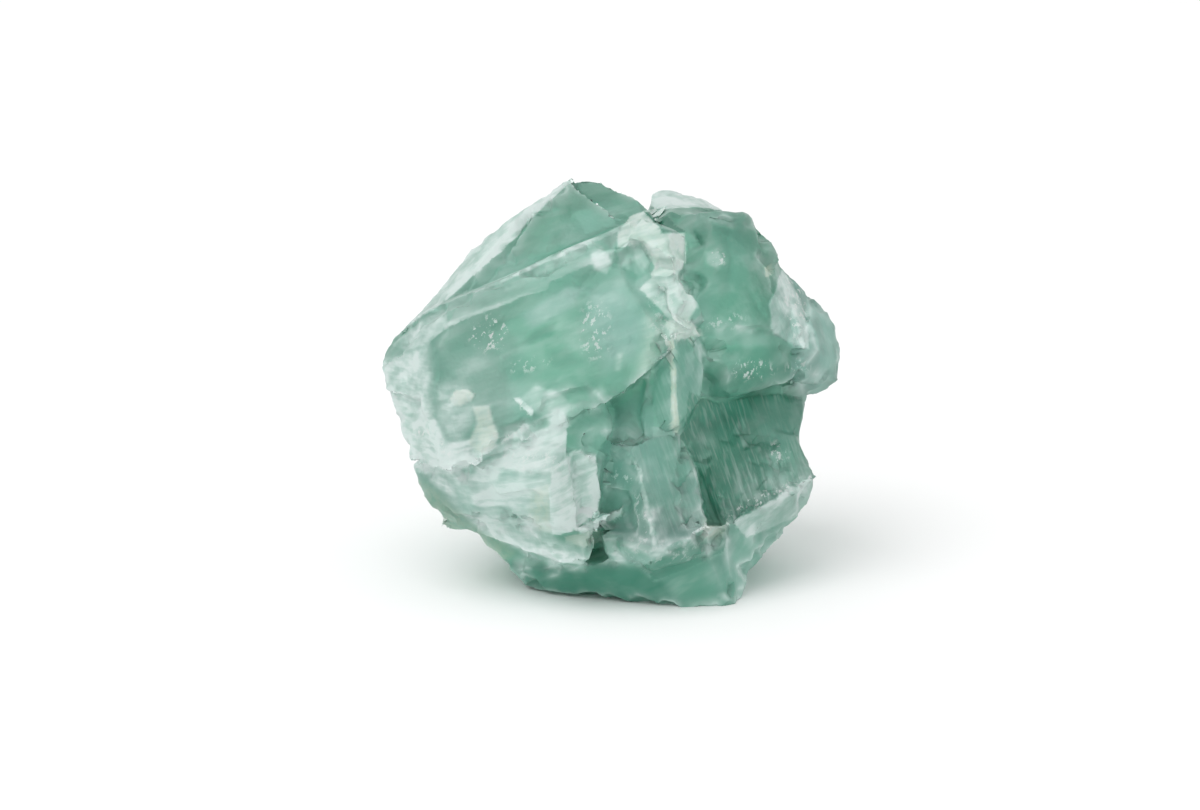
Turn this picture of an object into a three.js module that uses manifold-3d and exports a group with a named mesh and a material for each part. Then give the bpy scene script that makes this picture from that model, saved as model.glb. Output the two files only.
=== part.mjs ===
// Rough green fluorite: one lump broken from a crystal mass along its cleavage.
// It is one solid. Cleavage blocks are joined where they grew together, with thin flakes split off their
// faces and chips broken off their edges.
// Places are given as seen from the front, in millimetres: [across, up, out], where across runs to the right
// of the lump's middle, up starts at its lowest point and out comes towards the viewer.

import * as THREE from "three";
import { ConvexGeometry } from "three/addons/geometries/ConvexGeometry.js";
import { mergeVertices } from "three/addons/utils/BufferGeometryUtils.js";
import Module from "manifold-3d";

const wasm = await Module();
wasm.setup();

// Driving dimensions, in millimetres and degrees
const LEAN = 15; // the front view looks down on the resting lump by this angle
const BASE_OUT = 8; // how far out the flat base reaches in front
const HEART = [0, 21, -2]; // a place deep inside the lump, which all its faces look away from
const CHIP_RADIUS = [1.6, 4]; // size of the hollow that the smallest and the largest chips leave
const CHIP_BITE = [0.15, 0.55]; // how deep the smallest and the largest chips go into an edge
const CHIP_SPACING = 2; // mean distance between chips along an edge
const CHIP_FILL = 0.9; // how far out a chip's flat sides lie, as a share of its radius
const STREAKS = 8; // grooves down the face of the hollow
const STREAK_WIDTH = [0.3, 0.8]; // least and greatest
const STREAK_DEPTH = [0.15, 0.35]; // least and greatest
const CLEAR = 3; // how far cutters stand clear of the faces they cut
const FAR = 100; // longer than the lump, for the block that cuts its base flat
const SEED = 20; // for the uneven chips and streaks

const fluoriteGreen = new THREE.MeshStandardMaterial({
  color: 0x7fb8a4,
  roughness: 0.35,
  metalness: 0,
});

// A closed geometry as a solid that can be joined and cut
function solidOf(geometry) {
  const bare = new THREE.BufferGeometry();
  bare.setAttribute("position", geometry.getAttribute("position"));
  if (geometry.index) bare.setIndex(geometry.index);
  const merged = mergeVertices(bare, 1e-4);
  return new wasm.Manifold(
    new wasm.Mesh({
      numProp: 3,
      vertProperties: merged.attributes.position.array,
      triVerts: new Uint32Array(merged.index.array),
    }),
  );
}

// A solid back as a three.js geometry
function geometryOf(solid) {
  const mesh = solid.getMesh();
  const geometry = new THREE.BufferGeometry();
  geometry.setAttribute("position", new THREE.BufferAttribute(mesh.vertProperties, 3));
  geometry.setIndex(new THREE.BufferAttribute(mesh.triVerts, 1));
  return geometry;
}

const point = (place) => new THREE.Vector3(...place);

// A cleavage block: the flat-faced solid that has these corners
function block(...corners) {
  return solidOf(new ConvexGeometry(corners.map(point)));
}

const join = (solids) => solids.reduce((whole, solid) => whole.add(solid));

// A block with these flakes and chips broken off
const broken = (solid, ...pieces) => pieces.flat().reduce((rest, piece) => rest.subtract(piece), solid);

// Even random numbers from 0 to 1, the same in every run
function randomFrom(seed) {
  let state = seed;
  return () => {
    state = (state * 16807) % 2147483647;
    return state / 2147483647;
  };
}
const random = randomFrom(SEED);

// A thin flake split off a face along the cleavage. Three places on the face are given, and the flake's
// outline as [across, up], which runs out over an edge, so that a step is left on the face.
function flake(face, depth, outline) {
  const plane = new THREE.Plane().setFromCoplanarPoints(...face.map(point));
  if (plane.distanceToPoint(point(HEART)) > 0) plane.negate();
  const corners = outline.flatMap(([across, up]) => {
    const view = new THREE.Ray(point([across, up, FAR]), point([0, 0, -1]));
    const place = view.intersectPlane(plane, new THREE.Vector3());
    return [-depth, CLEAR].map((lift) => place.clone().addScaledVector(plane.normal, lift));
  });
  return solidOf(new ConvexGeometry(corners));
}

// A flat-sided chip that breaks an edge, away from a place inside the block
function chip(place, inside, size) {
  const radius = THREE.MathUtils.lerp(...CHIP_RADIUS, size);
  const bite = THREE.MathUtils.lerp(...CHIP_BITE, size);
  const away = place.clone().sub(point(inside)).normalize();
  const breaker = new THREE.IcosahedronGeometry(radius);
  breaker.rotateX(Math.PI * random()).rotateY(Math.PI * random());
  const centre = place.clone().addScaledVector(away, CHIP_FILL * radius - bite);
  return solidOf(breaker.translate(centre.x, centre.y, centre.z));
}

// Chips at uneven distances along an edge
function chipsAlong(edge, inside) {
  const chips = [];
  edge.slice(1).forEach((place, i) => {
    const start = point(edge[i]);
    const end = point(place);
    const count = Math.round(start.distanceTo(end) / CHIP_SPACING);
    for (let k = 0; k < count; k += 1) {
      const share = (k + random()) / count;
      chips.push(chip(start.clone().lerp(end, share), inside, random()));
    }
  });
  return chips;
}

// Grooves of uneven width and depth down the face of the hollow
function streaks(face) {
  const top = [new THREE.Vector2(8.4, 18), new THREE.Vector2(18.6, 18.6)];
  const bottom = [new THREE.Vector2(11.6, 7.4), new THREE.Vector2(21, 11.4)];
  return Array.from({ length: STREAKS }, (_, i) => {
    const share = (i + random()) / STREAKS;
    const start = top[0].clone().lerp(top[1], share);
    const end = bottom[0].clone().lerp(bottom[1], share);
    const width = THREE.MathUtils.lerp(...STREAK_WIDTH, random());
    const depth = THREE.MathUtils.lerp(...STREAK_DEPTH, random());
    return flake(face, depth, [
      [start.x, start.y], [start.x + width, start.y], [end.x, end.y], [end.x + width * random(), end.y],
    ]);
  });
}

// The long edges, where chips are broken off
const slabFoot = [
  [-19.7, 14, 6.2], [-15.6, 13.1, 12.2], [-11.1, 15.4, 14.2], [-5.1, 19.4, 13.9], [0.1, 20.2, 14],
  [3.9, 23.4, 13.2], [7.1, 26.4, 12.4], [8.4, 29.4, 11.4],
];
const slabTop = [
  [-19.3, 28.5, 3.5], [-18.1, 29.1, 5.4], [-11.1, 32.1, 6.8], [-5.1, 34.2, 7.3], [0.9, 36.9, 7.6],
  [3.9, 39, 6],
];
const slabTip = [
  [-22.1, 26.2, 1.5], [-23.4, 24.7, 2], [-22.5, 22.2, 3], [-22.1, 20, 4], [-21.4, 17.6, 5],
  [-20.4, 15.2, 5.8],
];
const peakRidge = [[-16.1, 30.3, 4], [-12.3, 34.3, 2.8], [-8.2, 38.2, 1.8], [-3.3, 43.5, 0.6]];
const peakSlope = [[-3.3, 43.5, 0.6], [-1.9, 43.2, 0.8], [2.3, 40.9, 2.6], [4.4, 39.5, 3.4]];
const knobRim = [[3.2, 38.7, 8], [5.4, 37.5, 9.2], [7.4, 36.8, 8.4], [7.5, 34.6, 9.6], [6.9, 32.6, 11.8]];
const cornerRim = [[7.4, 31.8, 11.2], [8.9, 29.2, 10.6], [7.6, 27.2, 12.4]];
const shoulderRim = [
  [4.6, 39.4, 2], [7.9, 39.2, 2.5], [11.5, 39, 2], [13.6, 38.9, 0.4], [15.7, 36.7, 0.6],
  [17.2, 34.4, 0.2], [17.3, 32, 1.2],
];
const shoulderFoot = [[8.9, 20.7, 5], [11.9, 19.9, 5.5], [16.4, 21.5, 4], [18.6, 22.7, 2.2]];
const backRim = [[3.4, 40.9, -4], [4.9, 41.6, -6], [7.3, 41.5, -6.5], [9.6, 40.6, -5.5], [11.6, 39.3, -4]];
const lobeRim = [
  [20.2, 31, -5], [21.6, 29.8, -5], [22.6, 28.3, -5], [22.8, 26.2, -4], [23.3, 24.6, -4],
  [22.9, 22.4, -4], [21, 21.1, -4], [19.4, 20.5, -4],
];
const ledgeRim = [
  [20.7, 12.8, -1], [19.8, 10.8, 0], [19.1, 9, 0], [17.1, 6.9, 1], [14.7, 4.6, 4], [13.5, 2.4, 5],
];
const lobeSide = [[-1.6, 15.8, 12], [-1.2, 11.8, 12.4], [-1.3, 9.2, 12.5], [-1.4, 7.8, 12.6]];
const lobeFoot = [[-17.7, 8.7, 2.8], [-13.1, 7.9, 6], [-8.1, 5.6, 10], [-5.1, 4.3, 11.6], [-2.3, 4.1, 12]];
const lipEdge = [[-0.8, 6.6, 11.2], [3.9, 5.3, 13], [7.9, 6.9, 12.6], [11.4, 8.3, 10.4]];
const prismEdge = [[1.7, 16.6, 11.6], [4.4, 6.4, 12.8]];
const prismSide = [[6.5, 17, 9.6], [8.2, 14.6, 9.6], [9.5, 10.2, 9.6]];
const footRim = [[-8.8, 1.9, 4], [-1.1, 0.7, 4], [6.9, -0.5, 8.2], [12.1, -0.4, 7.7], [13.7, 2.5, 4.5]];
const backLeftEdge = [[-13, 31.5, -10], [-9, 29.5, -17], [-3, 34, -18]];
const backSideEdge = [[-16.4, 26, -6], [-9, 29.5, -17], [-8.6, 10, -16]];
const backStepEdge = [[-3, 34, -18], [-1, 14, -18.5]];
const backRightEdge = [[9, 36, -13], [16.5, 30, -11], [18.2, 20, -9]];

// The body behind the front blocks
const core = block(
  [-18.5, 22, -1], [-12, 33, -4], [-3, 39, -4], [8, 37.5, -3], [16, 31, -4], [18, 22, -5],
  [18, 13, -3], [12, 3, 2], [-7, 2.5, 2], [-15, 9, 0],
  [-10, 25, -15], [0, 31, -16], [11, 28, -15], [13, 17, -15], [4, 6, -14], [-9, 9, -13],
  [-12, 18, 4], [-4, 21, 10], [3, 26, 8], [3, 12, 7], [-4, 10, 9],
);

// The slab that leans out in front, with its long bevelled top edge and its tip at the far left
const slabFace = [[-14.9, 30.4, 8.8], [8.4, 29.4, 11.4], [-5.1, 19.4, 13.9]];
const slabLeft = [[-17.1, 25.5, 9.6], [-15.6, 13.1, 12.2], [-21.4, 17.6, 5]];
const slabCorner = [[-17.1, 25.5, 9.6], [-14.9, 30.4, 8.8], [-22.1, 26.2, 1.5]];
const frontSlab = broken(
  block(
    ...slabFoot, ...slabTop, ...slabTip,
    [-14.9, 30.4, 8.8], [-6.6, 32.7, 8.9], [-0.6, 35.2, 8.8], [3.5, 36, 9.5], [-17.1, 25.5, 9.6],
    [-18.2, 29.7, -2], [-18, 22, -5], [-10, 30, -5], [4, 36, -2], [6, 25, 0], [0, 22.5, 2], [-10, 18, 2],
    [-17.6, 16, 0],
  ),
  flake(slabFace, 0.5, [[1.2, 34.4], [7, 38], [13, 28], [6.6, 24], [3.4, 29.6]]),
  flake(slabFace, 0.7, [[-16, 11], [-13.6, 16.8], [-9.6, 18], [-7.4, 15.5], [-9, 11]]),
  flake(slabFace, 0.45, [[-8, 17.4], [-6.6, 20.8], [-2.4, 21.8], [0.6, 19], [-4, 15]]),
  flake(slabLeft, 0.6, [[-23.5, 21.6], [-19.2, 20.4], [-17.8, 17], [-16.2, 11], [-23.5, 11]]),
  flake(slabCorner, 0.35, [[-24.5, 25.4], [-19.6, 31], [-17.8, 28.2], [-20.4, 25], [-24, 23.2]]),
  chipsAlong(slabFoot, [-4, 27, 5]),
  chipsAlong(slabTop, [-8, 27, 2]),
  chipsAlong(slabTip, [-12, 23, 3]),
);

// The leaning face that rises behind the slab to the lump's peak, with a thin edge at the left
const peakFace = [[-12.3, 34.3, 2.8], [4.4, 39.5, 3.4], [-8, 31, 6.5]];
const peak = broken(
  block(
    ...peakRidge, ...peakSlope, [4, 33, 6.5], [-8, 31, 6.5],
    [-19.2, 28.7, -1], [-18.2, 29.8, 0], [-15.7, 33.2, -2], [-14, 35.6, -3], [-12.4, 36.9, -3.5],
    [-8.2, 39.1, -3], [-13, 29, -12], [-4, 37.6, -11], [4, 37, -12],
  ),
  flake(peakFace, 0.25, [[-4.6, 46], [7, 41.5], [5, 36.6], [1, 38.4], [-3.4, 41]]),
  flake(peakFace, 0.35, [[-18.5, 31], [-9.5, 41], [-7.6, 38], [-12.4, 32.6], [-14, 29.6]]),
  chipsAlong(peakRidge, [-2, 30, -3]),
  chipsAlong(peakSlope, [-4, 32, -3]),
);

// The frosted knob at the right end of the slab
const knob = broken(
  block(
    ...knobRim, [6, 34.4, 12], [3.9, 35.9, 11], [4, 31, 10.6], [1.6, 36.4, 9], [2, 36, 2], [7, 34, 2],
    [6.5, 30, 2],
  ),
  chipsAlong(knobRim, [4.6, 33.6, 6]),
);

// The frosted corner below the knob, over the column
const corner = broken(
  block(
    ...cornerRim, [5.2, 33, 11.6], [9.2, 28.3, 9.4], [5.6, 28.6, 12.6], [5, 31, 4], [9, 28, 4], [6, 27, 4],
  ),
  chipsAlong(cornerRim, [6, 30, 7]),
);

// The smooth shoulder to the right, set back behind the knob and overhanging the hollow below it
const shoulderLeft = [[4.6, 39.4, 2], [7.9, 30.4, 6.5], [11.9, 34.4, 5]];
const shoulderRight = [[11.9, 34.4, 5], [15.7, 36.7, 0.6], [16.2, 26.6, 4.6]];
const shoulderLow = [[11.9, 34.4, 5], [11.4, 24.6, 8], [16.2, 26.6, 4.6]];
const shoulder = broken(
  block(
    ...shoulderRim, ...shoulderFoot,
    [16.2, 26.6, 4.6], [11.4, 24.6, 8], [8.9, 25.4, 8], [7.9, 30.4, 6.5], [11.9, 34.4, 5],
    [6, 36, -10], [14, 34, -10], [16, 26, -10], [8, 24, -4],
  ),
  flake(shoulderLeft, 0.9, [[3, 41], [8.4, 41], [9.2, 37.6], [7.4, 33], [5, 31]]),
  flake(shoulderRight, 0.35, [[13.8, 41], [20, 36], [18.4, 28.6], [16, 31], [14.8, 36]]),
  flake(shoulderLow, 0.45, [[7, 26.4], [10, 27.4], [12.4, 26.8], [14.6, 27.8], [18, 27], [17, 20], [7, 20]]),
  chipsAlong(shoulderRim, [8, 28, -6]),
  chipsAlong(shoulderFoot, [12, 29, 0]),
);

// The thin pale slab that shows above the shoulder
const backSlab = broken(
  block(...backRim, [4.9, 39.4, 0], [8.9, 39.1, 0.5], [4, 34, -14], [12, 34, -14]),
  chipsAlong(backRim, [6, 34, -8]),
);

// The streaked plate between the shoulder and the lobe at the far right
const streakedPlate = block(
  [17.3, 33.6, -1.5], [19, 32.2, -3.4], [20.2, 30.8, -4], [18.4, 29, 1.4], [19.2, 25.6, 2.4],
  [16.8, 25.4, 3.4], [16.6, 31, 0.6], [16, 32, -10], [19, 28, -10], [17, 24, -8],
);

// The rounded lobe at the far right
const rightLobe = broken(
  block(
    ...lobeRim, [19.9, 28.6, 0.4], [20.6, 25.4, 1.4], [19, 23.2, 2.6], [17.8, 23.6, 2.6],
    [17, 31, -11], [20, 25, -12], [16, 22, -10],
  ),
  chipsAlong(lobeRim, [17, 26, -6]),
);

// The streaked face in the hollow under the shoulder, stepped across below its top
const hollowTop = block(
  [6.4, 17.2, 4.2], [8.9, 20.4, 2], [18.4, 22.3, -2], [19.7, 20.6, -2], [19.7, 17.8, -0.9], [19, 17, -0.6],
  [8.5, 14, 5.2], [8, 20, -8], [18, 23.5, -9], [17, 15, -10],
);
const hollow = [[14, 16.9, 2.9], [20.8, 12.6, 1.8], [13.7, 9.3, 6.5]];
const hollowFace = broken(
  block(
    [8.8, 16.4, 4.6], [14, 16.9, 2.9], [19, 17.1, 0.2], [20.8, 12.6, 1.8], [13.7, 9.3, 6.5], [10.9, 8.3, 7.6],
    [9.6, 11, 6.9], [8, 15, -6], [17, 16, -9], [17, 11, -9], [10, 8, -8],
  ),
  flake(hollow, 0.5, [[7, 18.5], [12.6, 18.5], [11.6, 14.6], [12.8, 12], [11.6, 9], [7, 9]]),
  streaks(hollow),
);

// The pale ledge below the hollow
const rightLedge = broken(
  block(
    ...ledgeRim, [10.9, 8.4, 9.2], [13.4, 9.7, 7.6], [19.4, 12.6, 2.2], [11.4, 4.4, 8.4],
    [10, 4, -8], [17, 9, -9], [18, 12, -6],
  ),
  chipsAlong(ledgeRim, [12, 9, -3]),
);

// The foot that the lump rests on
const foot = broken(
  block(
    ...footRim, [-9.6, 3.7, 4], [-7.1, 1.5, 3], [3.4, 0.3, 7], [13.1, 1.1, 5], [-2.1, 4.2, 9],
    [2.9, 4.8, 10.5], [8.9, 6.4, 10.5], [11.4, 6.9, 9],
    [-8, 3, -12], [2, 1, -16], [11, 2, -12], [-6, 8, -13], [10, 10, -13],
  ),
  chipsAlong(footRim, [3, 8, 0]),
);

// The shaded underside at the lower left, stepped down to the foot
const leftUnderside = block(
  [-17.6, 8.1, 1], [-16.7, 7.5, 1], [-14, 6.8, 1.6], [-11, 9, 6], [-15, 13, -6], [-12, 7, -7],
);
const leftHeel = block(
  [-14, 7.2, 1.6], [-11.5, 4.6, 2.4], [-9.8, 3.1, 3], [-8.6, 2, 3.4], [-5, 3.6, 7], [-9, 10, 4],
  [-8, 4, -9], [-12, 10, -7],
);

// The pale lobe at the lower left, under the slab, with a bright shelf along its top
const lobeFace = [[-9.6, 13.7, 13.9], [-5.9, 8.4, 14.4], [-12, 8.8, 10.6]];
const lobeRight = [[-6, 12.9, 14.8], [-5.9, 8.4, 14.4], [-1.2, 11.8, 12.4]];
const leftLobe = broken(
  block(
    ...lobeSide, [-19.7, 14.2, 3], [-19.2, 12, 2.6], [-18.3, 9.8, 2.8], [-16.6, 9.2, 4.4], [-9.6, 13.7, 13.9],
    [-6, 12.9, 14.8], [-5.9, 8.4, 14.4], [-12, 8.8, 10.6], [-4.2, 7.4, 13.8],
    [0.2, 19.9, 10.8], [0.3, 18, 10.6], [-5.1, 18.6, 12.4], [-11.1, 15.4, 12], [-15.6, 13.6, 9.6],
    [-17.6, 17, 1], [-14, 19, -4], [-12, 8, -4], [-2, 7, 2], [-2, 22, 2],
  ),
  flake(lobeFace, 0.5, [[-15, 10.4], [-8, 11.6], [-4.6, 10.2], [-4.6, 5], [-15, 5]]),
  flake(lobeRight, 0.5, [[-3.8, 18], [-2.9, 12.6], [-3.5, 6], [1, 6], [1, 18]]),
  chipsAlong(lobeSide, [-6, 12, 6]),
);

// The fan of flakes below the lobe
const fanFace = [[-13, 9.8, 8.6], [-8.1, 5.6, 10], [-5.1, 4.3, 11.6]];
const leftFan = broken(
  block(
    ...lobeFoot, [-16.9, 9.6, 3], [-13, 9.8, 8.6], [-6.1, 8.8, 13.6], [-3.7, 8, 13.6], [-1.3, 7.4, 12.4],
    [-13, 10, -4], [-3, 9, 2], [-4, 4, 3],
  ),
  flake(fanFace, 0.4, [[-16, 8.8], [-9, 7.6], [-3, 4.4], [-3, 2], [-16, 5]]),
  chipsAlong(lobeFoot, [-8, 12, 4]),
);

// The shard that points right from the foot of the lobe
const shard = block(
  [-1.8, 9, 13], [0.5, 9.7, 13.1], [0.2, 9.2, 13.4], [-1.6, 8.2, 13.5], [-2.6, 8.4, 12], [-2.4, 9.6, 12],
);

// The two-faced prism in the middle, between the lobe and the hollow
const prismLeft = [[1.7, 16.6, 11.6], [4.4, 6.4, 12.8], [-1.1, 7.9, 9.2]];
const prismRight = [[1.7, 16.6, 11.6], [4.4, 6.4, 12.8], [9.5, 10.2, 9.6]];
const prism = broken(
  block(
    ...prismEdge, ...prismSide, [9.7, 8.7, 9.6], [7.9, 7.2, 11], [-1.6, 15.6, 8], [-1.1, 7.9, 9.2],
    [1, 16, 2], [7, 15, 0], [8, 7, 2], [0, 8, 2],
  ),
  flake(prismLeft, 0.4, [[-4, 12.4], [1.2, 11.4], [2.6, 8.4], [2.2, 3], [-4, 3]]),
  flake(prismRight, 0.4, [[6, 18.5], [6.6, 12.4], [8, 5], [12, 5], [12, 18.5]]),
  chipsAlong(prismEdge, [3, 11, 2]),
  chipsAlong(prismSide, [3, 12, 4]),
);

// The column that joins the prism to the slab's corner
const column = block(
  [7.9, 28, 10.6], [9.3, 25.9, 9], [9, 20.7, 8.5], [6.8, 17, 9], [6.1, 17.4, 10.5],
  [6.1, 26.6, 12], [6.2, 17.9, 11.5], [3.7, 23.4, 10.5], [3.7, 17.9, 10], [2.6, 16.6, 10],
  [4, 26, 2], [8, 26, 2], [7, 18, 2], [4, 18, 2],
);

// The dark face in the notch left of the column
const notchFace = block(
  [0.2, 21.4, 7.6], [3.9, 24, 8.6], [3.9, 17.4, 9.4], [0.4, 17.6, 8.6], [-1, 16, 9],
  [0, 21, 0], [4, 23, 0], [4, 16, 0], [0, 16, 0],
);

// The thin pale lip below the prism
const lip = broken(
  block(
    ...lipEdge, [-1.1, 7.6, 10.6], [4.2, 6.8, 11.6], [7.9, 7.9, 11.4],
    [-0.6, 5.2, 10.4], [3.9, 3.8, 11], [8.9, 5, 10.6], [11.7, 6.6, 9], [0, 6, 4], [10, 6, 4],
  ),
  chipsAlong(lipEdge, [5, 12, 6]),
);

// The hidden side: three slabs that step down to the right
const backFace = [[-9, 29.5, -17], [-3, 34, -18], [-1, 14, -18.5]];
const backLeft = broken(
  block(
    ...backLeftEdge, ...backSideEdge, ...backStepEdge, [-16, 14, -6], [-18, 24, -3], [-12, 34, -4],
    [0, 34, -6], [0, 11, -8],
  ),
  flake(backFace, 0.8, [[-12, 22], [-4, 24.5], [3, 22], [3, 8], [-12, 8]]),
  chipsAlong(backLeftEdge, [-3, 26, -8]),
  chipsAlong(backSideEdge, [-3, 20, -8]),
  chipsAlong(backStepEdge, [-5, 23, -10]),
);
const backLow = [[11, 27, -16.4], [2, 18, -16.8], [13.5, 13, -13]];
const backRight = broken(
  block(
    ...backRightEdge, [-1, 35, -13], [13.5, 13, -13], [2, 18, -16.8], [-1, 31, -16.8],
    [11, 27, -16.4], [8, 36, -3], [17, 20, -3], [12, 16, -4],
  ),
  flake(backLow, 0.7, [[4, 25], [9, 22], [18, 25], [18, 10], [4, 10]]),
  chipsAlong(backRightEdge, [7, 24, -6]),
);
const backFoot = block(
  [-9, 8, -12], [-3, 4.5, -15], [9, 4, -15], [15, 9, -11], [12, 16, -15], [-2, 17.5, -17.8], [5, 13, -18.2],
  [3, 18, -6], [4, 4, -6],
);

// Leans the lump back, cuts its base flat and puts the origin in the middle of its base
function seat(solid) {
  const leaned = geometryOf(solid);
  leaned.translate(0, 0, -BASE_OUT);
  leaned.rotateX(Math.PI / 2 - THREE.MathUtils.degToRad(LEAN));
  const ground = new THREE.BoxGeometry(FAR, FAR, FAR).translate(0, 0, -FAR / 2);
  const seated = geometryOf(solidOf(leaned).subtract(solidOf(ground)));
  seated.computeBoundingBox();
  const middle = seated.boundingBox.getCenter(new THREE.Vector3());
  return seated.translate(-middle.x, -middle.y, 0);
}

const lump = join([
  core, frontSlab, peak, knob, corner, shoulder, backSlab, streakedPlate, rightLobe, hollowTop, hollowFace,
  rightLedge, foot, leftUnderside, leftHeel, leftLobe, leftFan, shard, prism, column, notchFace, lip,
  backLeft, backRight, backFoot,
]);

const fluorite = new THREE.Mesh(seat(lump), fluoriteGreen);
fluorite.name = "fluorite";

const part = new THREE.Group();
part.add(fluorite);

export default part;
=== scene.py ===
import math

import bmesh
import bpy
import numpy as np
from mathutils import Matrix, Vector
from mathutils.kdtree import KDTree


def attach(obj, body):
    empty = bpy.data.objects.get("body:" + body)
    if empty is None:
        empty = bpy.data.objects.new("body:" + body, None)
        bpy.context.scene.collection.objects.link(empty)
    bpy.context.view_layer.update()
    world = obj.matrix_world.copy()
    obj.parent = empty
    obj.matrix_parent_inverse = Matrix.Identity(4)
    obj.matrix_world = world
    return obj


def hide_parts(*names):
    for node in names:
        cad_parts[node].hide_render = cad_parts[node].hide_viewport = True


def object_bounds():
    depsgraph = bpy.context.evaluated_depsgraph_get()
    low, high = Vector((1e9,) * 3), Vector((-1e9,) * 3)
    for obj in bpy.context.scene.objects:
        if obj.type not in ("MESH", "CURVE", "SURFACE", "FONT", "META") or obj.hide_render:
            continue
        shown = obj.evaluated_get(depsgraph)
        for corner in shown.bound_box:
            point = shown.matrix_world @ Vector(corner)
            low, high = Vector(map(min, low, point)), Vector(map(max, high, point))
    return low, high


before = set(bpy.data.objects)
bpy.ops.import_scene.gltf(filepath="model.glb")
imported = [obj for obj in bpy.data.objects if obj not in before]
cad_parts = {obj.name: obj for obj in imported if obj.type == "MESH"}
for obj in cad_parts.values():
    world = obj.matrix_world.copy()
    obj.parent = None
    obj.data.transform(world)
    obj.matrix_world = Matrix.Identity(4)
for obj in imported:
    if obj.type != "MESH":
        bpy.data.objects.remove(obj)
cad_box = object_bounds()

# Rough green fluorite. The CAD solid gives the slabs, steps and chips; here its faces get the fine relief of
# broken crystal and a translucent, veiled and frosted material.
# Places on the lump are given as seen from the front, in millimetres: across from the lump's middle, up from
# its lowest point in that view, and out towards the viewer.

MM = 0.001
LEAN = math.radians(15)  # the front view looks down on the lump by this angle
BASE_OUT = 8.0  # the base's front edge, out
SHIFT_X = 0.031  # from across to the row's X
SHIFT_Y = 14.968  # from the leaned lump's Y to the row's Y
CAMERA_ACROSS, CAMERA_UP, CAMERA_OUT = -1.1, 19.9, 667.0
SEED = 7

CELL = 0.33  # size of the fine mesh's faces
EDGE_STEP = 0.12  # spacing of the points that mark the sharp edges
SHARP = math.radians(28)  # edges bent by more than this are sharp
SOFT_ROUNDS = 150  # rounds of smoothing where faces are rounded
SHADE_SHARP = math.radians(38)  # edges sharper than this stay sharp in the shading

CHIPS = 800
CHIP_REACH = (0.6, 2.4)  # how far a chip reaches from its middle
CHIP_BITE = (0.03, 0.3)  # how far below the edge a chip is cut
CHIP_TILT = 0.3  # spread of the chips' directions
SCAR_DEPTH = 0.25  # depth at which a chip is fully scarred
TIP = 1.5  # the lump's outermost points within this distance of its box stay whole

FACET_EDGE = 0.06  # half width of a facet's edge where it is crisp
FACET_STEP = 0.12  # step in tone across which the mesh is finer
WANDER = 0.16  # how far a facet's edge strays
WANDER_SIZE = 1.3  # length of the strays
BACK_OUT, FRONT_OUT = -9.0, -5.0  # the front's facets fade out between these, out

# The relief's heights, and the sizes of its forms
SWELL, SWELL_SIZE = 0.14, 7.0
TERRACE, TERRACE_SIZE = 0.045, 6.5
GRIT, GRIT_SIZE = 0.025, 1.1
STREAK, STREAK_SIZE = 0.11, 0.7
WEAR, WEAR_SIZE = 0.12, 1.3
FLAT_BELOW = 0.6  # the relief rises from the base up to this height

WORN_REACH = 0.45  # distance from an edge over which it is worn
EDGE_GLOW_REACH = 0.9  # distance from an edge over which the crystal is thin and painted light glows through it
LINE_REACH = 0.25  # distance from an edge over which it is bruised white
CORNER_SHADE_REACH = 0.8  # distance from an inner corner over which painted shade darkens it
FOOT_HEIGHT = (2.0, 9.0)  # the foot is less clear, fading between these heights
CALM = 0.8  # share of the wear that is missing where faces are rounded or whole

# Across the planes on which the crystal splits
CLEAVAGE = np.array([[0.30, 0.52, 0.80], [-0.85, 0.42, 0.32], [0.62, -0.40, 0.68]])
STREAK_DOWN = np.array([0.30, -0.92, 0.25])  # along the streaks of the hollow, in the front view

box_low, box_high = (np.array(corner) for corner in cad_box)


def front_view(co):
    """Row coordinates in metres to across, up and out in millimetres, one row per point."""
    x, y, z = (co / MM).T
    y = y + SHIFT_Y
    up = y * math.sin(LEAN) + z * math.cos(LEAN)
    out = z * math.sin(LEAN) - y * math.cos(LEAN) + BASE_OUT
    return np.stack([x + SHIFT_X, up, out], 1)


def as_seen(view):
    """Places in the front view, moved to where the camera sees them against the lump's middle."""
    spread = CAMERA_OUT / (CAMERA_OUT - view[:, 2:])
    aim = np.array([CAMERA_ACROSS, CAMERA_UP])
    return np.concatenate([aim + (view[:, :2] - aim) * spread, view[:, 2:]], 1)


def facing_front(co):
    """1 on the side seen from the front, 0 behind."""
    return ramp(front_view(co)[:, 2], BACK_OUT, FRONT_OUT)


def square_on(out_dir):
    """1 where a face is square to the front view, 0 where it is seen edge-on or from behind."""
    return np.clip(out_dir @ np.array([0, -math.cos(LEAN), math.sin(LEAN)]), 0, 1)


def row_place(across, up, out):
    """A place in the front view to row coordinates in metres."""
    y = up * math.sin(LEAN) - (out - BASE_OUT) * math.cos(LEAN) - SHIFT_Y
    z = up * math.cos(LEAN) + (out - BASE_OUT) * math.sin(LEAN)
    return Vector((across - SHIFT_X, y, z)) * MM


# Uneven values in space


def hashed(cells, seed):
    """A repeatable value from 0 to 1 for each whole-numbered cell."""
    x, y, z = cells.astype(np.uint32).T
    h = x * np.uint32(374761393) + y * np.uint32(668265263) + z * np.uint32(3266489917)
    h = h + np.uint32(seed * 97 + 13)
    h = (h ^ (h >> np.uint32(15))) * np.uint32(2246822519)
    h = (h ^ (h >> np.uint32(13))) * np.uint32(3266489917)
    return (h ^ (h >> np.uint32(16))).astype(np.float64) / 4294967295.0


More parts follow.
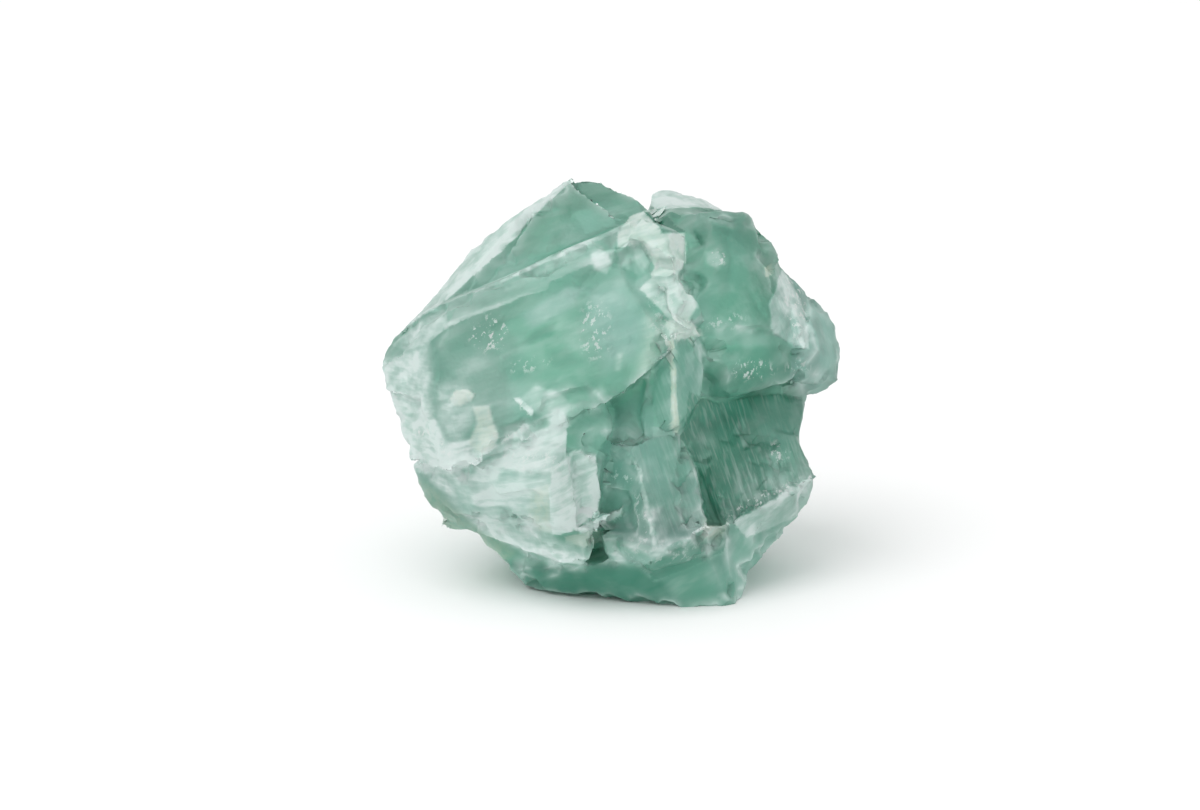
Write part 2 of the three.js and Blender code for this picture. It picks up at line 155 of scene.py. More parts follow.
def noise(points, size, seed):
    """Smooth noise from -1 to 1, with lumps of this size."""
    p = points / size + 1000.0
    cell = np.floor(p).astype(np.int64)
    t = p - cell
    t = t * t * t * (t * (t * 6 - 15) + 10)
    total = np.zeros(len(p))
    for corner in np.ndindex(2, 2, 2):
        share = np.prod(np.where(np.array(corner) == 1, t, 1 - t), axis=1)
        total += share * hashed(cell + np.array(corner), seed)
    return 2 * total - 1


def layered(points, size, seed, layers=3):
    """Noise with finer and weaker noise added."""
    total = sum(noise(points, size / 2**i, seed + i) / 2**i for i in range(layers))
    return total / sum(0.5**i for i in range(layers))


def ramp(values, low, high):
    """0 below low, 1 above high and a smooth rise between."""
    t = np.clip((values - low) / (high - low), 0, 1)
    return t * t * (3 - 2 * t)


# The mesh


def cad_mesh(node):
    """The CAD node's faces, welded."""
    bm = bmesh.new()
    bm.from_mesh(node.data)
    bmesh.ops.remove_doubles(bm, verts=bm.verts, dist=1e-6)
    bmesh.ops.recalc_face_normals(bm, faces=bm.faces)
    return bm


def edge_points(bm, convex):
    """Points along the sharp edges that stand out, or along those that run in a corner."""
    points = []
    for edge in bm.edges:
        if len(edge.link_faces) != 2:
            continue
        angle = edge.calc_face_angle_signed(0.0)
        if (angle if convex else -angle) < SHARP:
            continue
        a, b = (v.co for v in edge.verts)
        count = max(1, int((b - a).length / (EDGE_STEP * MM)))
        points += [a.lerp(b, (i + 0.5) / count) for i in range(count)]
    return np.array(points)


def search_tree(points):
    """The points, ready to be searched by distance."""
    tree = KDTree(len(points))
    for i, place in enumerate(points):
        tree.insert(place, i)
    tree.balance()
    return tree


def distances(points, co):
    """Distance of each vertex from the nearest of the points, in millimetres."""
    tree = search_tree(points)
    return np.array([tree.find(p)[2] for p in co]) / MM


def drawn_to_edges(co, edge):
    """The vertices beside an edge moved onto it, so that the edge is sharp again."""
    tree = search_tree(edge)
    found = [tree.find(p) for p in co]
    place = np.array([f[0] for f in found])
    share = 1 - ramp(np.array([f[2] for f in found]) / MM, 0.35 * CELL, 0.75 * CELL)
    return co + share[:, None] * (place - co)


def fine_mesh(bm):
    """The solid with small even faces, without the crumbs that thin splinters leave."""
    rough = bpy.data.meshes.new("rough")
    bm.to_mesh(rough)
    holder = bpy.data.objects.new("rough", rough)
    bpy.context.scene.collection.objects.link(holder)
    remesh = holder.modifiers.new("remesh", "REMESH")
    remesh.mode = "VOXEL"
    remesh.voxel_size = CELL * MM
    depsgraph = bpy.context.evaluated_depsgraph_get()
    mesh = bpy.data.meshes.new_from_object(holder.evaluated_get(depsgraph))
    bpy.data.objects.remove(holder)

    fine = bmesh.new()
    fine.from_mesh(mesh)
    unseen = set(fine.verts)
    crumbs = []
    while unseen:
        island = []
        front = [unseen.pop()]
        while front:
            vert = front.pop()
            island.append(vert)
            for edge in vert.link_edges:
                other = edge.other_vert(vert)
                if other in unseen:
                    unseen.remove(other)
                    front.append(other)
        if len(island) < len(fine.verts) / 2:
            crumbs += island
    bmesh.ops.delete(fine, geom=crumbs, context="VERTS")
    fine.to_mesh(mesh)
    fine.free()
    return mesh


def refine_facets(mesh):
    """Splits the faces in which one facet meets the next, so that the facets' edges are crisp."""
    co = vertex_array(mesh, "co")
    square = square_on(vertex_array(mesh, "normal"))
    tone = surface_marks(as_seen(front_view(co)), square)["tone"] * facing_front(co)
    fine = bmesh.new()
    fine.from_mesh(mesh)
    crossed = []
    for edge in fine.edges:
        a, b = (tone[v.index] for v in edge.verts)
        if abs(a - b) > FACET_STEP:
            crossed.append(edge)
    bmesh.ops.subdivide_edges(fine, edges=crossed, cuts=1, use_grid_fill=True)
    bmesh.ops.triangulate(fine, faces=[face for face in fine.faces if len(face.verts) > 4])
    fine.to_mesh(mesh)
    fine.free()


def vertex_array(mesh, field):
    """The vertices' places or normals, one row per vertex."""
    values = np.zeros(len(mesh.vertices) * 3, np.float32)
    mesh.vertices.foreach_get(field, values)
    return values.reshape(-1, 3).astype(np.float64)


def set_places(mesh, co):
    """Moves the vertices."""
    mesh.vertices.foreach_set("co", co.astype(np.float32).ravel())
    mesh.update()


def smoothed(mesh, co, share, rounds):
    """The vertices drawn towards their neighbours, by each vertex's share."""
    pairs = np.zeros(len(mesh.edges) * 2, np.int32)
    mesh.edges.foreach_get("vertices", pairs)
    a, b = pairs.reshape(-1, 2).T
    ends = np.concatenate([a, b])
    others = np.concatenate([b, a])
    count = np.bincount(ends, minlength=len(co))[:, None]
    for _ in range(rounds):
        sums = np.stack([np.bincount(ends, co[others, i], len(co)) for i in range(3)], 1)
        co = co + share[:, None] * 0.5 * (sums / count - co)
    return co


def chipped_edges(co, out_dir, edge, whole):
    """Flat chips split off along the edges that aren't whole, and how deep each vertex lies in one."""
    rng = np.random.default_rng(SEED)
    tree = search_tree(co)
    co = co.copy()
    depth = np.zeros(len(co))
    for _ in range(CHIPS):
        spot = rng.integers(len(edge))
        place = edge[spot]
        size = rng.uniform(*CHIP_REACH) * MM
        cut = rng.uniform(*CHIP_BITE) * MM
        tilt = rng.normal(0, CHIP_TILT, 3)
        to_box = np.minimum(place - box_low, box_high - place)
        if whole[spot] or place[2] < size or to_box.min() < TIP * MM:
            continue
        outward = out_dir[tree.find(place)[1]] + tilt
        outward /= np.linalg.norm(outward)
        found = tree.find_range(place, size)
        index = np.array([i for _, i, _ in found], int)
        if not len(index):
            continue
        across_split = np.abs((co[index] - place) @ CLEAVAGE.T).max(1)
        share = 1 - ramp(across_split, 0.5 * size, 0.75 * size)
        share *= out_dir[index] @ outward > 0.15  # not the faces beyond the edge that look away
        above = np.maximum((co[index] - place) @ outward + cut, 0) * share
        co[index] -= above[:, None] * outward
        depth[index] = np.maximum(depth[index], above / (SCAR_DEPTH * MM))
    return co, np.clip(depth, 0, 1)


# The surface's facets, as seen from the front: each outline in places across and up, with its tone from -1
# for deep green over 0 for mid green to 1 for frosted white, its share of grey-blue, cream and fine streaks,
# how far it stands out, and half the width of its edge. The darkest tones are partly painted shade, and the
# paleness of the peak's left plate and of the slab behind the shoulder is painted light.

FACETS = [
    # slab
    (dict(tone=-0.18, soft=0.8), [(-18.3, 25.9), (-16.6, 28.1), (-12.1, 29.8), (-6.3, 31.5), (-0.5, 34.2),
        (3.9, 30.4), (2.9, 23.2), (-5.1, 20.9), (-14.1, 20.2), (-17.5, 20.4)]),
    # left end of the slab
    (dict(tone=0.95, soft=0.8), [(-23.9, 24.2), (-19.9, 25.2), (-18.3, 25.9), (-17.7, 22.0), (-17.7, 18.4),
        (-16.5, 16.2), (-21.1, 15.4), (-23.1, 20.4)]),
    # lower left of the slab
    (dict(tone=0.2, soft=1.2), [(-17.7, 25.0), (-12.6, 25.4), (-8.6, 21.4), (-10.6, 17.0), (-15.0, 16.4),
        (-17.6, 18.4)]),
    # its foot
    (dict(tone=1.0, soft=0.3), [(-21.9, 18.6), (-17.7, 18.4), (-16.5, 16.3), (-13.9, 16.4), (-11.1, 15.9),
        (-12.9, 14.4), (-16.1, 12.8), (-18.6, 13.0), (-21.1, 15.4)]),
    # strip beside it
    (dict(tone=0.6, streak=0.3, soft=0.8), [(-17.7, 22.0), (-14.5, 22.6), (-13.9, 18.4), (-14.9, 16.3),
        (-16.5, 16.3)]),
    # middle of the slab
    (dict(tone=0.2, soft=2.0), [(-11.1, 26.9), (-5.1, 28.9), (2.9, 29.9), (3.9, 27.4), (2.9, 23.6),
        (-1.1, 22.4), (-7.1, 23.2)]),
    # right margin of the slab
    (dict(tone=0.45, cream=0.2, soft=0.8), [(3.5, 29.2), (6.2, 28.2), (5.7, 25.8), (4.4, 23.8),
        (2.5, 22.6)]),
    # veils inside the slab
    (dict(tone=-0.4, soft=0.7), [(-15.6, 27.8), (-12.1, 29.4), (-6.3, 31.2), (-7.4, 29.4), (-11.6, 27.6),
        (-14.6, 26.6)]),
    (dict(tone=0.25, cool=0.8, soft=0.6), [(-9.0, 28.9), (-4.6, 31.7), (-2.6, 31.6), (-4.4, 29.4),
        (-7.8, 27.6)]),
    (dict(tone=-0.5, soft=0.4), [(-9.4, 25.7), (-7.6, 27.4), (-5.5, 28.2), (-5.9, 27.1), (-7.9, 26.0)]),
    (dict(tone=-0.4, soft=0.7), [(-6.4, 25.6), (-4.4, 25.9), (-3.0, 24.2), (-4.4, 23.3), (-6.2, 23.6)]),
    (dict(tone=0.15, cool=0.7, soft=1.2), [(-2.4, 31.4), (0.9, 31.6), (3.3, 28.0), (2.6, 24.6),
        (-0.6, 23.6), (-1.4, 27.0)]),
    (dict(tone=0.55, soft=0.3), [(0.6, 25.2), (1.2, 25.2), (0.9, 23.3), (0.4, 23.4)]),
    # cream patch on the slab
    (dict(tone=1.0, cream=0.35, soft=0.2), [(-13.8, 19.7), (-12.2, 19.8), (-11.9, 18.4), (-11.2, 17.0),
        (-11.6, 15.6), (-13.4, 15.0), (-14.2, 16.2), (-13.4, 18.0)]),
    # cream lump above it
    (dict(tone=1.0, cream=0.3, lift=0.15), [(-16.1, 20.4), (-15.6, 21.2), (-14.4, 21.5), (-13.6, 21.0),
        (-13.9, 20.2), (-15.4, 19.8)]),
    # glassy tongue at the slab's foot
    (dict(tone=0.45, soft=0.3), [(-9.5, 20.2), (-7.6, 21.9), (-5.1, 21.2), (-4.0, 19.9), (-5.0, 17.9),
        (-7.1, 18.9)]),
    # white cracks
    (dict(tone=1.0), [(-9.7, 20.5), (-9.3, 20.8), (-7.6, 19.2), (-7.9, 18.7)]),
    (dict(tone=1.0), [(-11.1, 16.1), (-8.4, 18.1), (-8.1, 17.6), (-10.7, 15.7)]),
    (dict(tone=1.0), [(-20.2, 17.6), (-17.1, 17.2), (-17.1, 16.7), (-20.0, 17.1)]),
    (dict(tone=1.0), [(-17.1, 16.3), (-16.7, 16.5), (-15.9, 14.8), (-16.4, 14.5)]),
    # left plate of the peak, its paleness painted light
    (dict(tone=0.95), [(-24.1, 24.2), (-20.1, 27.9), (-16.2, 30.4), (-13.1, 33.3), (-9.6, 36.4),
        (-8.1, 38.4), (-4.6, 41.9), (-2.8, 43.2), (-3.6, 44.9), (-12.1, 39.9), (-17.1, 35.4),
        (-21.1, 30.4)]),
    # face of the peak
    (dict(tone=-0.2), [(-16.2, 30.4), (-13.1, 33.3), (-9.6, 36.4), (-8.1, 38.4), (-4.6, 41.9), (-2.8, 43.2),
        (-0.5, 42.8), (3.4, 40.6), (4.6, 39.6), (0.9, 37.8), (-5.1, 34.9), (-11.1, 32.4)]),
    # bevel
    (dict(tone=0.28), [(-22.6, 24.8), (-20.6, 26.9), (-18.6, 28.6), (-16.2, 30.4), (-11.1, 32.4),
        (-5.1, 34.9), (1.1, 37.8), (2.9, 37.2), (-0.7, 34.6), (-5.9, 32.9), (-6.3, 31.5), (-12.1, 29.8),
        (-16.6, 28.1), (-18.3, 25.9), (-19.9, 25.2)]),
    # frosted end of the bevel
    (dict(tone=0.55), [(-21.9, 25.9), (-18.6, 28.4), (-16.5, 29.6), (-16.4, 28.2), (-18.3, 25.9),
        (-20.6, 25.4)]),
    # bright upper edge of the bevel
    (dict(tone=0.75), [(-16.5, 30.15), (-11.1, 32.6), (-5.1, 35.1), (1.1, 38.0), (3.1, 39.0), (1.1, 37.5),
        (-5.1, 34.6), (-11.1, 32.1)]),
    # fine lines along the bevel
    (dict(tone=0.4), [(-10.6, 31.6), (-4.6, 34.2), (1.0, 36.6), (-4.5, 33.9), (-10.5, 31.3)]),
    (dict(tone=0.4), [(-6.4, 32.6), (-0.6, 35.0), (0.8, 35.6), (-0.5, 34.6), (-6.2, 32.2)]),
    (dict(tone=0.55), [(-18.2, 26.1), (-16.5, 28.2), (-12.1, 29.9), (-6.3, 31.6), (-12.0, 29.5),
        (-16.3, 27.8)]),
    # knob
    (dict(tone=0.9, cream=0.2), [(0.6, 37.2), (1.9, 38.8), (4.4, 39.7), (5.1, 37.2), (7.3, 37.1),
        (7.7, 35.2), (7.3, 33.4), (5.7, 32.8), (4.1, 32.6), (0.6, 35.8)]),
    # pane below the knob
    (dict(tone=0.15), [(0.3, 35.7), (2.9, 35.8), (4.3, 33.8), (3.5, 32.4), (1.1, 34.0)]),
    # arm of the knob
    (dict(tone=0.65, cream=0.1), [(4.1, 32.7), (6.9, 33.2), (8.7, 29.8), (7.9, 28.6), (6.6, 27.8),
        (5.7, 28.6), (2.9, 31.6)]),
    # bright blob
    (dict(tone=0.75, soft=0.3), [(-2.1, 35.2), (-0.9, 35.6), (0.1, 34.2), (-0.5, 33.0), (-1.7, 33.4)]),
    # corner below the arm
    (dict(tone=0.95, cream=0.25), [(5.3, 28.2), (6.9, 29.0), (9.1, 27.4), (9.5, 26.2), (7.7, 26.6),
        (6.1, 26.4)]),
    # notch beside the knob, its dark tone a painted shadow
    (dict(tone=-0.95), [(3.3, 39.2), (7.3, 39.2), (7.5, 37.2), (5.3, 37.3)]),
    # shoulder
    (dict(tone=-0.22), [(4.6, 39.6), (7.9, 40.0), (13.4, 39.0), (15.4, 36.4), (17.3, 34.2), (16.9, 31.2),
        (15.7, 27.2), (8.9, 28.2), (8.7, 30.4), (7.5, 33.4), (7.5, 37.2)]),
    # dark cloud in the shoulder
    (dict(tone=-0.55, soft=0.8), [(10.1, 38.2), (12.4, 38.2), (13.7, 36.4), (12.7, 35.4), (11.1, 36.0)]),
    # bright pit
    (dict(tone=0.6, soft=0.3), [(9.5, 35.2), (10.5, 35.4), (11.4, 34.4), (10.6, 33.6), (9.6, 34.0)]),
    # cream spot
    (dict(tone=0.4, cream=0.7), [(15.2, 33.6), (16.0, 33.8), (16.2, 32.9), (15.4, 32.6)]),
    # step below the shoulder
    (dict(tone=0.1, cool=0.2, soft=0.5), [(8.5, 28.6), (11.4, 28.6), (15.4, 27.2), (16.4, 25.4),
        (12.7, 25.6), (9.3, 26.4)]),
    # lower shoulder
    (dict(tone=-0.45, soft=0.4), [(9.1, 26.2), (12.7, 25.6), (18.1, 25.8), (18.1, 23.2), (15.4, 21.2),
        (10.9, 20.1), (9.1, 21.6)]),
    # underside of the shoulder, darkened as painted shade
    (dict(tone=-0.75, soft=0.5), [(9.3, 22.8), (18.1, 24.0), (18.2, 23.0), (15.4, 21.1), (10.9, 19.9),
        (9.1, 21.4)]),
    # slab behind the shoulder, its paleness painted light
    (dict(tone=0.95), [(2.5, 40.8), (4.9, 42.0), (8.4, 41.6), (12.9, 39.1), (8.1, 39.7), (4.4, 39.6)]),
    # lobe at the right
    (dict(tone=-0.2, cool=1.0), [(17.3, 33.6), (22.4, 29.9), (23.9, 25.9), (22.9, 21.9), (19.7, 20.4),
        (17.9, 22.6), (18.1, 25.8), (16.5, 26.9), (15.7, 29.9)]),
    # streaked plate
    (dict(tone=0.45, cool=0.8, streak=0.8, lift=0.1), [(17.1, 33.6), (18.9, 30.6), (19.7, 27.4),
        (19.9, 25.4), (18.1, 25.8), (16.1, 27.4), (15.8, 29.9)]),
    # notch left of the column
    (dict(tone=-0.15, cool=0.5), [(0.7, 19.6), (3.9, 22.0), (4.5, 21.2), (4.3, 17.4), (2.9, 16.6),
        (0.1, 17.6)]),
    # column
    (dict(tone=-0.3, cool=0.4, streak=0.5), [(4.4, 23.8), (5.7, 26.2), (9.1, 26.8), (9.3, 23.2),
        (8.1, 18.4), (6.5, 17.0), (4.9, 17.4), (4.1, 20.6)]),
    # ridge of the column
    (dict(tone=0.45, cream=0.6, lift=0.15), [(5.9, 26.4), (6.4, 26.4), (6.6, 17.2), (6.1, 17.0)]),
    # top of the prism
    (dict(tone=0.25, cool=0.5), [(-1.3, 17.2), (2.9, 18.0), (5.9, 17.4), (7.1, 16.6), (2.9, 15.2),
        (1.5, 15.2), (0.1, 16.2)]),
    # left face of the prism, darkened as painted shade
    (dict(tone=-0.35, cool=0.7), [(-1.4, 14.9), (0.1, 16.3), (1.6, 15.3), (3.0, 13.4), (4.1, 8.4),
        (4.7, 5.6), (0.9, 6.4), (-1.1, 8.4), (-1.4, 10.4)]),
    # right face of the prism
    (dict(tone=-0.05, cool=0.6, streak=0.7), [(1.6, 15.3), (3.1, 16.4), (6.7, 16.8), (8.1, 14.4),
        (9.1, 11.4), (9.7, 7.4), (7.1, 5.4), (4.6, 5.6), (3.9, 9.4), (3.0, 13.4)]),
    # edge between the prism's faces
    (dict(tone=0.45), [(1.5, 15.4), (3.0, 13.5), (3.7, 10.4), (4.6, 5.7), (4.2, 5.7), (3.3, 10.2),
        (2.6, 13.2)]),
    # right edge of the prism
    (dict(tone=0.4), [(6.8, 16.7), (8.1, 14.9), (9.5, 11.4), (10.6, 8.2), (10.0, 8.0), (9.0, 11.2),
        (7.7, 14.5)]),
    # hollow, its deep green darkened further as painted shade
    (dict(tone=-0.9, streak=1.0), [(7.9, 21.2), (10.9, 20.0), (14.9, 21.0), (19.2, 20.8), (19.3, 16.4),
        (20.7, 12.9), (18.9, 11.6), (15.9, 9.8), (12.4, 8.2), (10.7, 8.2), (9.5, 11.4), (8.1, 14.9),
        (6.8, 16.7)]),
    # right wall of the hollow
    (dict(tone=-0.65, cool=0.5, streak=0.3, soft=0.8), [(14.1, 20.0), (19.2, 20.8), (19.4, 16.4),
        (18.1, 15.8), (14.7, 15.9)]),
    # lower right of the hollow
    (dict(tone=-0.25, streak=1.0, soft=1.2), [(15.9, 15.2), (18.9, 16.4), (20.7, 12.9), (18.9, 11.6),
        (16.1, 11.2)]),
    # ledge
    (dict(tone=0.5), [(12.5, 8.0), (16.5, 10.1), (20.1, 12.4), (21.1, 12.4), (19.6, 9.4), (16.6, 7.9),
        (13.6, 6.6)]),
    # edge of the ledge
    (dict(tone=0.8, lift=0.08), [(12.3, 8.3), (16.3, 10.5), (19.9, 12.7), (20.2, 12.2), (16.6, 9.8),
        (12.6, 7.7)]),
    # below the ledge
    (dict(tone=-0.2, soft=0.8), [(11.5, 7.4), (13.4, 5.8), (16.1, 5.6), (19.5, 8.4), (18.9, 5.9),
        (15.4, 2.4), (12.7, -0.6), (11.1, 4.4)]),
    # lobe at the lower left
    (dict(tone=1.0, cool=0.2, soft=0.5), [(-18.6, 12.8), (-15.9, 12.8), (-12.9, 14.4), (-9.1, 17.2),
        (-5.5, 19.6), (-4.1, 17.9), (-4.3, 14.9), (-5.9, 13.8), (-6.3, 10.4), (-6.0, 7.0), (-9.1, 7.8),
        (-13.1, 9.2), (-16.1, 10.7)]),
    # folds of the lobe
    (dict(tone=0.25, soft=0.3), [(-14.9, 13.4), (-11.1, 15.8), (-6.6, 18.6), (-5.9, 18.0), (-10.3, 15.2),
        (-14.1, 12.8)]),
    (dict(tone=0.45, soft=0.4), [(-16.3, 12.2), (-14.1, 12.8), (-12.9, 11.4), (-14.1, 10.0),
        (-15.9, 10.6)]),
    (dict(tone=0.4, cool=0.4, soft=0.25), [(-10.6, 13.4), (-8.1, 13.3), (-5.8, 13.4), (-5.9, 12.6),
        (-8.3, 12.5), (-11.1, 12.8)]),
    (dict(tone=1.0, soft=0.5), [(-13.1, 12.2), (-10.6, 12.6), (-9.7, 11.4), (-11.3, 10.6), (-12.9, 11.0)]),
    (dict(tone=0.6, cream=0.4, soft=0.5), [(-7.9, 11.2), (-6.3, 11.8), (-6.0, 7.2), (-7.3, 7.4),
        (-8.3, 9.2)]),
    (dict(tone=0.45, soft=0.3), [(-14.1, 9.6), (-11.1, 9.8), (-8.3, 8.8), (-8.7, 8.0), (-11.5, 8.7),
        (-13.9, 9.0)]),
    # bright shelf
    (dict(tone=1.0, cool=0.6, lift=0.1), [(-10.3, 15.4), (-6.1, 16.1), (-4.4, 15.4), (-5.8, 13.6),
        (-9.1, 13.4)]),
    # upper plate right of it
    (dict(tone=-0.1), [(-4.5, 17.6), (-1.1, 20.0), (0.3, 18.4), (-1.9, 16.3), (-3.6, 15.2), (-4.4, 14.9)]),
    # right plate of the lobe
    (dict(tone=0.95, lift=0.06), [(-5.8, 13.8), (-3.6, 15.3), (-1.4, 14.9), (-1.0, 11.4), (-1.4, 9.2),
        (-3.9, 7.2), (-5.9, 6.8), (-6.2, 10.4)]),
    # shard
    (dict(tone=0.75, lift=0.25), [(-3.7, 7.4), (-1.6, 8.4), (1.3, 9.7), (1.1, 8.8), (-1.1, 7.7),
        (-2.9, 7.0)]),
    # stub below the shard
    (dict(tone=0.45, cream=0.3), [(-4.5, 6.7), (-1.1, 7.5), (-0.9, 6.5), (-2.6, 5.7), (-4.5, 5.9)]),
    # fan
    (dict(tone=0.6, streak=0.3, soft=0.4), [(-18.6, 11.2), (-16.1, 10.5), (-11.1, 8.4), (-6.0, 6.9),
        (-3.9, 5.8), (-2.3, 4.4), (-2.7, 3.6), (-6.1, 4.0), (-9.6, 5.4), (-13.1, 7.2), (-16.1, 8.8)]),
    # left underside
    (dict(tone=-0.05, cream=0.35, soft=0.5), [(-20.6, 13.4), (-17.1, 11.0), (-13.1, 7.2), (-9.6, 5.2),
        (-11.1, 3.9), (-14.6, 5.4), (-18.1, 7.4), (-19.6, 9.9)]),
    # band below the prism
    (dict(tone=0.1, cool=0.4, soft=0.5), [(-1.1, 5.9), (3.9, 4.8), (7.9, 5.8), (4.4, 3.8), (-0.1, 4.2)]),
    # lip
    (dict(tone=-0.9, lift=0.12), [(2.9, 3.8), (7.1, 5.8), (10.1, 8.2), (11.9, 7.6), (11.2, 5.2), (7.9, 3.6),
        (4.4, 2.4)]),
    # top of the lip
    (dict(tone=0.4, cream=0.4, soft=0.4), [(9.3, 8.4), (11.7, 8.0), (11.1, 6.8), (9.1, 6.4)]),
    # foot, its deep green darkened further as painted shade
    (dict(tone=-1.0, soft=0.5), [(-10.6, 4.2), (-6.1, 3.8), (-2.7, 3.5), (-1.1, 4.4), (2.9, 3.7),
        (4.4, 2.4), (7.9, 3.6), (11.1, 4.8), (12.7, -0.8), (3.9, -1.1), (-7.1, -0.1)]),
    # right end of the foot
    (dict(tone=-0.5, soft=0.8), [(5.1, 2.6), (7.9, 3.6), (11.1, 4.8), (12.7, -0.8), (7.9, -1.0)]),
    # middle of the foot, darkest as painted shade
    (dict(tone=-1.0, soft=0.6), [(-2.5, 4.0), (1.3, 3.8), (1.1, 0.8), (-2.3, 1.4)]),
]

# Clusters of painted glints, the light caught by small fractures: place across and up, half width and half
# height, tilt in degrees and strength
PAINTED_GLINTS = [
    (-12.2, 27.0, 2.2, 2.0, 0, 1.0),  # speckles in the slab
    (-1.6, 27.4, 1.8, 3.2, 0, 0.9),
    (-8.2, 23.9, 2.4, 0.8, 10, 0.6),
    (-8.6, 19.7, 1.3, 0.4, -40, 1.0),
    (-9.6, 17.0, 1.6, 0.4, 32, 1.0),
    (-16.6, 15.6, 0.5, 1.0, 20, 1.0),
    (-19.0, 17.2, 1.8, 0.4, -4, 1.0),
    (10.6, 34.6, 1.0, 0.9, 0, 1.0),  # pit in the shoulder
    (14.2, 23.4, 2.4, 1.2, 0, 0.9),
    (11.4, 28.2, 2.2, 0.9, 10, 0.7),
    (18.4, 29.6, 1.3, 4.0, 8, 1.0),
    (18.8, 23.6, 1.4, 1.1, 0, 0.6),
    (16.8, 15.2, 1.2, 1.3, 0, 0.9),  # flecks in the hollow
    (15.8, 10.8, 5.4, 0.6, 24, 1.0),
    (0.8, 12.6, 1.6, 0.9, 0, 0.6),
    (3.0, 8.6, 0.8, 3.0, 12, 0.7),
    (-8.0, 14.4, 4.0, 1.5, -4, 0.6),
    (5.6, 29.0, 2.4, 3.0, 0, 0.5),
    (4.0, 5.4, 6.0, 1.4, 0, 0.3),
]

# Places where the faces are rounded, in the same way
SOFTENED = [
    (14.4, 16.4, 7.4, 4.6, 0, 1.0),  # the hollow is one curved face
    (1.0, 15.9, 2.4, 1.2, 0, 1.0),  # the top of the prism is round
    (3.2, 31.6, 4.6, 1.1, -60, 1.0),  # the groove beside the knob is shallow
    (4.2, 39.6, 1.4, 1.4, 0, 1.0),  # the end of the slab behind the shoulder
    (8.6, 36.3, 2.9, 0.8, 74, 1.0),  # the shoulder has no crack
    (-15.7, 18.0, 2.4, 3.2, 0, 0.8),  # the strip at the slab's foot is level
    (9.9, 10.6, 3.2, 0.7, -69, 0.8),  # the corner between the prism and the hollow
]

# Places where the edges are whole, in the same way
UNCHIPPED = [
    (-8.0, 32.4, 15.0, 2.4, 23, 1.0),  # the bevel's edges are straight
]


def near(seen, across, up, half_across, half_up, tilt):
    """How close points are to a place in the front view: 1 there, falling to 0 at the patch's soft edge."""
    turn = math.radians(tilt)
    da = seen[:, 0] - across
    du = seen[:, 1] - up
    along = da * math.cos(turn) + du * math.sin(turn)
    aside = du * math.cos(turn) - da * math.sin(turn)
    reach = np.sqrt((along / half_across) ** 2 + (aside / half_up) ** 2)
    return 1 - ramp(reach, 0.5, 1.2)


def patches(seen, places):
    """The strongest of these patches at each point."""
    total = np.zeros(len(seen))
    for *shape, strength in places:
        total = np.maximum(total, strength * near(seen, *shape))
    return total


def inside(seen, outline, soft):
    """1 inside an outline in the front view and 0 outside, with a rise of this half width between."""
    corners = np.array(outline)
    share = np.zeros(len(seen))
    low, high = corners.min(0) - soft, corners.max(0) + soft
    found = np.flatnonzero(((seen[:, :2] > low) & (seen[:, :2] < high)).all(1))
    points = seen[found, :2]
    nearest = np.full(len(points), np.inf)
    within = np.zeros(len(points), bool)
    for a, b in zip(corners, np.roll(corners, -1, 0)):
        side = b - a
        t = np.clip((points - a) @ side / (side @ side), 0, 1)
        nearest = np.minimum(nearest, np.linalg.norm(points - a - t[:, None] * side, axis=1))
        if a[1] != b[1]:
            crosses = (a[1] > points[:, 1]) != (b[1] > points[:, 1])
            within ^= crosses & (points[:, 0] < a[0] + side[0] * (points[:, 1] - a[1]) / side[1])
    share[found] = ramp(np.where(within, nearest, -nearest), -soft, soft)
    return share


def surface_marks(seen, square):
    """The facets' values at each point. Later facets lie over earlier ones, and their edges are ragged where a
    face is square to the view."""
    marks = {name: np.zeros(len(seen)) for name in ("tone", "cool", "cream", "streak", "lift")}
    level = seen * np.array([1, 1, 0])
    wander = np.stack([layered(level, WANDER_SIZE, 40 + 3 * i) for i in range(2)], 1)
    ragged = seen[:, :2] + WANDER * square[:, None] * wander
    for values, outline in FACETS:
        share = inside(ragged, outline, values.get("soft", FACET_EDGE))
        for name in marks:
            marks[name] += share * (values.get(name, 0) - marks[name])
    return marks


# The relief, in millimetres along each face's outward direction


def steps(view, size, drop, seed):
    """Low terraces, as thin layers of crystal leave them when they split off."""
    height = noise(view, size, seed) * 4
    base = np.floor(height)
    return (base + ramp(height - base, 0.5, 1.0)) * drop


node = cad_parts["fluorite"]
solid = cad_mesh(node)
rim_points = edge_points(solid, convex=True)
corner_points = edge_points(solid, convex=False)
mesh = fine_mesh(solid)
solid.free()
refine_facets(mesh)

co = drawn_to_edges(vertex_array(mesh, "co"), rim_points)
soft = patches(front_view(co), SOFTENED) * facing_front(co)
co = smoothed(mesh, co, soft, SOFT_ROUNDS)
set_places(mesh, co)
rim = distances(rim_points, co)
corner = distances(corner_points, co)
whole = patches(as_seen(front_view(rim_points)), UNCHIPPED) * facing_front(rim_points) > 0.5
co, scar = chipped_edges(co, vertex_array(mesh, "normal"), rim_points, whole)
set_places(mesh, co)
out_dir = vertex_array(mesh, "normal")
view = front_view(co)
seen = as_seen(view)

front = facing_front(co)
marks = surface_marks(seen, square_on(out_dir))
marks["painted_glint"] = patches(seen, PAINTED_GLINTS)
behind = {
    "tone": 0.8 * layered(view, 8.0, 80) - 0.1,
    "cool": ramp(noise(view, 11.0, 84), 0.0, 0.6),
    "cream": 0.6 * ramp(layered(view, 5.0, 87), 0.3, 0.6),
    "streak": ramp(layered(view, 9.0, 90), 0.1, 0.5),
    # painted glints on the far side
    "painted_glint": ramp(layered(view, 4.0, 93), 0.25, 0.5),
}
around = {name: front * marks[name] + (1 - front) * behind[name] for name in behind}
tone = around["tone"]
streaked = around["streak"]

down = STREAK_DOWN / np.linalg.norm(STREAK_DOWN)
fibre = view - 0.94 * np.outer(view @ down, down)

